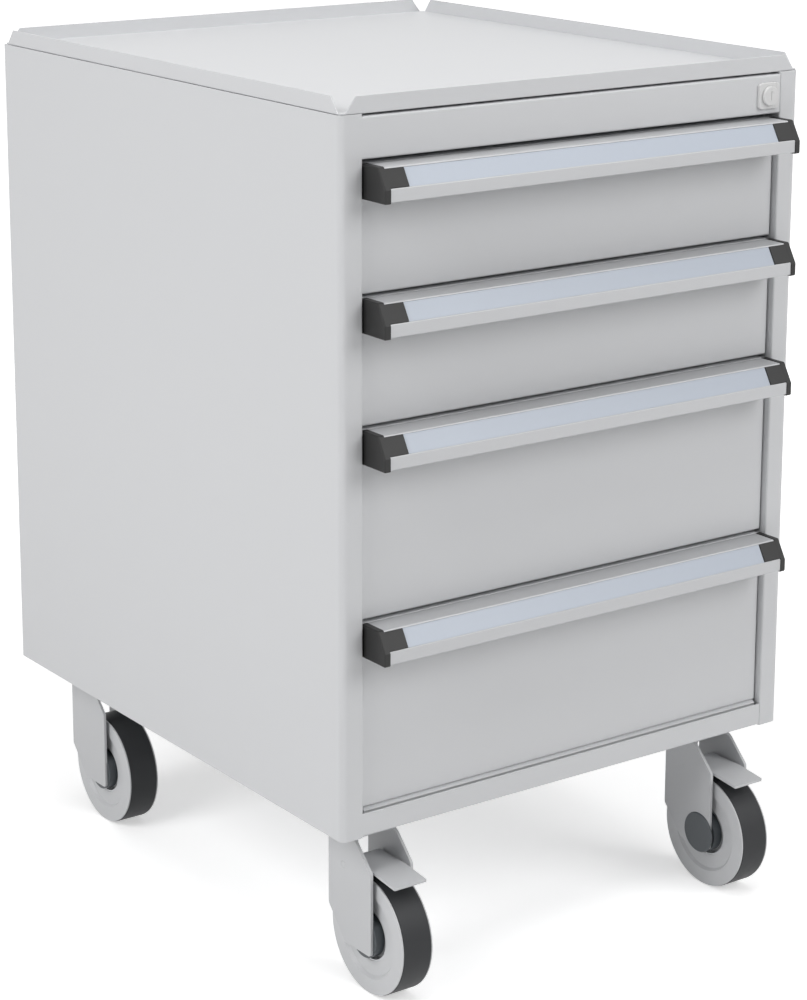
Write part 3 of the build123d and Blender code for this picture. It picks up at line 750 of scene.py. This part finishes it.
class DRAWER_UNIT_OT_castors(Operator):
    """Finish the castors: plates, bolts, forks, axles, wheels, tyres and brake pedals"""

    bl_idname = "drawer_unit.castors"
    bl_label = "Castors"

    # Sections in millimetres from the wheel's middle plane and from its axis. The wheel's runs over
    # the hub, the deep recess round the thread guard, the dish and the flat ring inside the tyre
    wheel_section = (
        (10.5, 5.05), (10.5, 19.8), (6.0, 19.8), (6.0, 24.4), (13.4, 24.4), (13.4, 38.0), (16.25, 40.4),
        (16.25, 54.9), (14.85, 54.9), (14.85, 47.0),
    )
    tyre_section = ((14.8, 47.05), (14.8, 54.9), (14.3, 55.4))
    ring_section = ((9.5, 23.1), (12.4, 23.1), (12.9, 23.6), (12.9, 24.35), (9.5, 24.35))
    turn_steps = 96
    # Millimetres: the fork's plate, the width of its bores, and what its nose and the axle's cap lose
    fork_plate = 3.0
    axle_bore = 6.0
    nose_draw = 1.5
    nose_reach = 10.0
    cap_draw = 2.8
    # Millimetres: how far a pedal's round corners reach in the solid, and their radius here
    pedal_corner = 4.5
    pedal_round = 1.4
    pedal_steps = 4

    def execute(self, context):
        edges = context.scene.drawer_unit_edges
        round_nodes(("castor_plates", "castor_bolts"), edges.fastener, edges.segments)
        for castor in CASTORS:
            low, high = box_corners(f"{castor}_tyre")
            middle = (low + high) / 2
            self.add_fork(castor, middle, edges)
            self.add_axle(castor, middle, edges)
            self.add_turned(castor, "wheel", middle, self.mirrored(self.wheel_section), edges)
            self.add_turned(castor, "tyre", middle, self.mirrored(self.tyre_section), edges)
            self.add_rings(castor, middle)
            if f"{castor}_pedal" in frame["nodes"]:
                self.add_pedal(f"{castor}_pedal", middle, edges)
        return {"FINISHED"}

    def mirrored(self, section):
        """A section closed by its own mirror image in the wheel's middle plane."""
        return section + tuple((-across, radius) for across, radius in reversed(section))

    def turn_section(self, bm, section, middle):
        """Turns a closed section round the wheel's axis."""
        corners = [bm.verts.new(middle + Vector((across, 0, radius)) * MM) for across, radius in section]
        loop = [bm.edges.new(pair) for pair in zip(corners, corners[1:] + corners[:1])]
        bmesh.ops.spin(
            bm, geom=[*corners, *loop], cent=middle, axis=(1, 0, 0), angle=radians(360),
            steps=self.turn_steps, use_merge=True,
        )
        bmesh.ops.remove_doubles(bm, verts=bm.verts, dist=MERGE_DISTANCE)
        bmesh.ops.recalc_face_normals(bm, faces=bm.faces)

    def add_turned(self, castor, kind, middle, section, edges):
        """The wheel or its tyre."""
        node = f"{castor}_{kind}"
        bm = bmesh.new()
        self.turn_section(bm, section, middle)
        round_edges(bm, sharp_edges(bm), edges.wheel, edges.segments)
        replace_node(bm, node)

    def add_rings(self, castor, middle):
        """A plated ring on each side of the wheel, which lines the wall of the recess round its hub."""
        bm = bmesh.new()
        for side in (-1, 1):
            self.turn_section(bm, [(side * across, radius) for across, radius in self.ring_section], middle)
        add_piece(bm, f"{castor}_hub_rings", f"{castor}_roller", "zinc_steel")

    def add_fork(self, castor, middle, edges):
        """The fork, with its axle bores closed and the nose of its legs drawn in."""
        node = f"{castor}_fork"
        fork = merged_copy(node)

        def from_axle(co):
            return hypot(co.y - middle.y, co.z - middle.z)

        walls = [
            face for face in fork.faces
            if all(from_axle(vert.co) < self.axle_bore * MM for vert in face.verts)
        ]
        bmesh.ops.delete(fork, geom=walls, context="FACES")
        rims = [edge for edge in fork.edges if edge.is_boundary]
        bmesh.ops.holes_fill(fork, edges=rims)
        bmesh.ops.dissolve_limit(fork, angle_limit=FLAT_ANGLE, verts=fork.verts, edges=fork.edges)
        shift(fork, (0, self.nose_draw, 0), lambda co: co.y < middle.y - self.nose_reach * MM)
        round_edges(fork, sharp_edges(fork), edges.fork, edges.segments)
        replace_node(fork, node)

    def add_pedal(self, node, middle, edges):
        """A brake pedal, with sharper corners than the solid's."""
        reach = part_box(node)[0][1] + self.pedal_corner * MM
        pedal = merged_copy(node)
        lip = [vert for vert in pedal.verts if vert.co.y < reach]
        level = sum(vert.co.z for vert in lip) / len(lip)
        # Each corner's arc, above and below, becomes one point, and the edge between them is rounded
        arcs = {}
        for vert in lip:
            arcs.setdefault((vert.co.x > middle.x, vert.co.z > level), []).append(vert)
        for arc in arcs.values():
            tip = min(arc, key=lambda vert: vert.co.y)
            side = max(arc, key=lambda vert: abs(vert.co.x - middle.x))
            bmesh.ops.pointmerge(pedal, verts=arc, merge_co=(side.co.x, tip.co.y, tip.co.z))
        lip = [vert for vert in pedal.verts if vert.co.y < reach]
        upright = [
            edge for edge in pedal.edges
            if all(vert in lip for vert in edge.verts)
            and abs(edge.verts[0].co.x - edge.verts[1].co.x) < MM
        ]
        round_edges(pedal, upright, self.pedal_round * MM, self.pedal_steps)
        round_edges(pedal, sharp_edges(pedal), edges.fork, edges.segments)
        replace_node(pedal, node)

    def add_axle(self, castor, middle, edges):
        """The axle, ending inside the outer leg, with its cap close to the inner one."""
        node = f"{castor}_axle"
        low, high = box_corners(f"{castor}_fork")
        leg = (high.x - low.x) / 2
        inward = -1 if middle.x > 0 else 1
        end = Vector((inward * (leg - self.fork_plate * MM / 2), 0, 0))
        axle = merged_copy(node)
        keep_side(axle, middle - end, (-inward, 0, 0))
        shift(
            axle, (-inward * self.cap_draw, 0, 0),
            lambda co: (co.x - middle.x) * inward > leg + self.cap_draw * MM / 2,
        )
        round_edges(axle, sharp_edges(axle), edges.moulding, edges.segments)
        replace_node(axle, node)


def seen_directly(tree):
    """A factor that is 1 where the camera, a reflection or a clear thing shows the surface."""
    path = add_node(tree, "ShaderNodeLightPath")
    mirrored = add_node(tree, "ShaderNodeMath", {"operation": "MAXIMUM"})
    tree.links.new(path.outputs["Is Glossy Ray"], mirrored.inputs[0])
    tree.links.new(path.outputs["Is Transmission Ray"], mirrored.inputs[1])
    seen = add_node(tree, "ShaderNodeMath", {"operation": "MAXIMUM"})
    tree.links.new(path.outputs["Is Camera Ray"], seen.inputs[0])
    tree.links.new(mirrored.outputs[0], seen.inputs[1])
    return seen.outputs[0]


def studio_paper(name, colour, glow, spread):
    """Seamless paper: matt and pale, with a glow to the eye that grows to white away from the shadow."""
    material, tree, shader = new_material(name, colour, metallic=0, roughness=0.9)
    coords = add_node(tree, "ShaderNodeTexCoord").outputs["Object"]
    fibres = add_node(tree, "ShaderNodeTexNoise", Vector=coords, Scale=cells(8), Detail=2)
    vary(tree, shader, colour, fibres, spread=0.01, roughness=(0.88, 0.92))
    away = add_node(tree, "ShaderNodeVectorMath", {"operation": "LENGTH"}, Vector=coords)
    near, far = spread
    fade = add_node(
        tree, "ShaderNodeMapRange", Value=away.outputs["Value"],
        From_Min=near, From_Max=far, To_Min=glow, To_Max=1,
    )
    share = add_node(tree, "ShaderNodeMath", {"operation": "MULTIPLY"})
    tree.links.new(seen_directly(tree), share.inputs[0])
    tree.links.new(fade.outputs["Result"], share.inputs[1])
    white = add_node(tree, "ShaderNodeEmission", Strength=share.outputs[0])
    both = add_node(tree, "ShaderNodeAddShader")
    tree.links.new(shader.outputs["BSDF"], both.inputs[0])
    tree.links.new(white.outputs["Emission"], both.inputs[1])
    tree.links.new(both.outputs["Shader"], tree.nodes["Material Output"].inputs["Surface"])
    return material


class DRAWER_UNIT_OT_stage(Operator):
    """Set the floor, the light and the camera"""

    bl_idname = "drawer_unit.stage"
    bl_label = "Stage"

    # Metres along a side of the floor
    floor_size = 40.0
    # The floor's glow beside the unit, and how far away in metres it starts to grow and is white
    floor_glow = 0.5
    glow_spread = (0.5, 2.0)
    # Millimetres, as the lens is
    sensor_height = 36.0
    # Each soft lamp: where it hangs and the side of its square, in metres
    lamps = (
        ("top", (0.0, -0.3, 3.4), 2.6),
        ("side", (-3.0, -0.4, 2.4), 2.0),
        ("front", (1.6, -3.0, 2.4), 2.0),
    )

    def execute(self, context):
        scene = context.scene
        studio = scene.drawer_unit_studio
        scene.view_settings.view_transform = "Standard"
        self.add_floor(scene)
        self.add_world(scene, studio.ambient)
        for name, place, size in self.lamps:
            self.add_lamp(scene, name, place, size, getattr(studio, f"{name}_power"))
        self.add_camera(scene, studio)
        return {"FINISHED"}

    def add_floor(self, scene):
        """A wide floor of studio paper."""
        bm = bmesh.new()
        bmesh.ops.create_grid(bm, x_segments=1, y_segments=1, size=self.floor_size / 2)
        mesh = bpy.data.meshes.new("studio_floor")
        bm.to_mesh(mesh)
        bm.free()
        colour = scene.drawer_unit_colours.floor
        mesh.materials.append(studio_paper("studio paper", colour, self.floor_glow, self.glow_spread))
        floor = bpy.data.objects.new("studio_floor", mesh)
        scene.collection.objects.link(floor)

    def add_world(self, scene, ambient):
        """An even light from all around that shows as white."""
        world = bpy.data.worlds.new("studio")
        world.use_nodes = True
        scene.world = world
        tree = world.node_tree
        back = tree.nodes["Background"]
        strength = add_node(
            tree, "ShaderNodeMapRange", Value=seen_directly(tree), To_Min=ambient, To_Max=1
        )
        back.inputs["Color"].default_value = (1, 1, 1, 1)
        tree.links.new(strength.outputs["Result"], back.inputs["Strength"])

    def add_lamp(self, scene, name, place, size, power):
        """A soft square lamp that faces the middle of the unit."""
        lamp = bpy.data.lights.new(name, "AREA")
        lamp.shape = "SQUARE"
        lamp.size = size
        lamp.energy = power
        holder = bpy.data.objects.new(name, lamp)
        holder.location = place
        middle = (Vector(CAD_BOX[0]) + Vector(CAD_BOX[1])) / 2
        holder.rotation_euler = (middle - holder.location).to_track_quat("-Z", "Y").to_euler()
        scene.collection.objects.link(holder)

    def add_camera(self, scene, studio):
        """A camera that stands and looks as the photograph's did."""
        camera = bpy.data.cameras.new("photo_camera")
        camera.sensor_fit = "VERTICAL"
        camera.sensor_height = self.sensor_height
        camera.lens = studio.camera_lens
        camera.shift_x, camera.shift_y = studio.camera_shift
        turn = studio.camera_turn
        rise = studio.camera_rise
        back = Vector((sin(turn) * cos(rise), -cos(turn) * cos(rise), sin(rise)))
        right = Vector((cos(turn), sin(turn), 0))
        level = Matrix((right, back.cross(right), back)).transposed()
        tilted = level @ Matrix.Rotation(studio.camera_roll, 3, "Z")
        holder = bpy.data.objects.new("photo_camera", camera)
        holder.matrix_world = Matrix.Translation(studio.camera_place) @ tilted.to_4x4()
        scene.collection.objects.link(holder)
        scene.camera = holder


class DRAWER_UNIT_PT_panel(Panel):
    """Lists the unit's settings and the steps that make it"""

    bl_idname = "DRAWER_UNIT_PT_panel"
    bl_label = "Drawer Unit"
    bl_space_type = "VIEW_3D"
    bl_region_type = "UI"
    bl_category = "Drawer Unit"

    def draw(self, context):
        for group in (
            context.scene.drawer_unit_edges,
            context.scene.drawer_unit_colours,
            context.scene.drawer_unit_studio,
        ):
            box = self.layout.box()
            for name in group.__annotations__:
                box.prop(group, name)
        for step in STEPS:
            self.layout.operator(step.bl_idname)


GROUPS = (DrawerUnitEdges, DrawerUnitColours, DrawerUnitStudio)
STEPS = (
    DRAWER_UNIT_OT_shell,
    DRAWER_UNIT_OT_drawers,
    DRAWER_UNIT_OT_grips,
    DRAWER_UNIT_OT_lock,
    DRAWER_UNIT_OT_runners,
    DRAWER_UNIT_OT_castors,
    DRAWER_UNIT_OT_stage,
)


def register():
    for kind in (*GROUPS, *STEPS, DRAWER_UNIT_PT_panel):
        bpy.utils.register_class(kind)
    bpy.types.Scene.drawer_unit_edges = PointerProperty(type=DrawerUnitEdges)
    bpy.types.Scene.drawer_unit_colours = PointerProperty(type=DrawerUnitColours)
    bpy.types.Scene.drawer_unit_studio = PointerProperty(type=DrawerUnitStudio)


def unregister():
    del bpy.types.Scene.drawer_unit_studio
    del bpy.types.Scene.drawer_unit_colours
    del bpy.types.Scene.drawer_unit_edges
    for kind in reversed((*GROUPS, *STEPS, DRAWER_UNIT_PT_panel)):
        bpy.utils.unregister_class(kind)


def main():
    register()
    bpy.ops.drawer_unit.shell()
    bpy.ops.drawer_unit.drawers()
    bpy.ops.drawer_unit.grips()
    bpy.ops.drawer_unit.lock()
    bpy.ops.drawer_unit.runners()
    bpy.ops.drawer_unit.castors()
    bpy.ops.drawer_unit.stage()


if __name__ == "__main__":
    main()
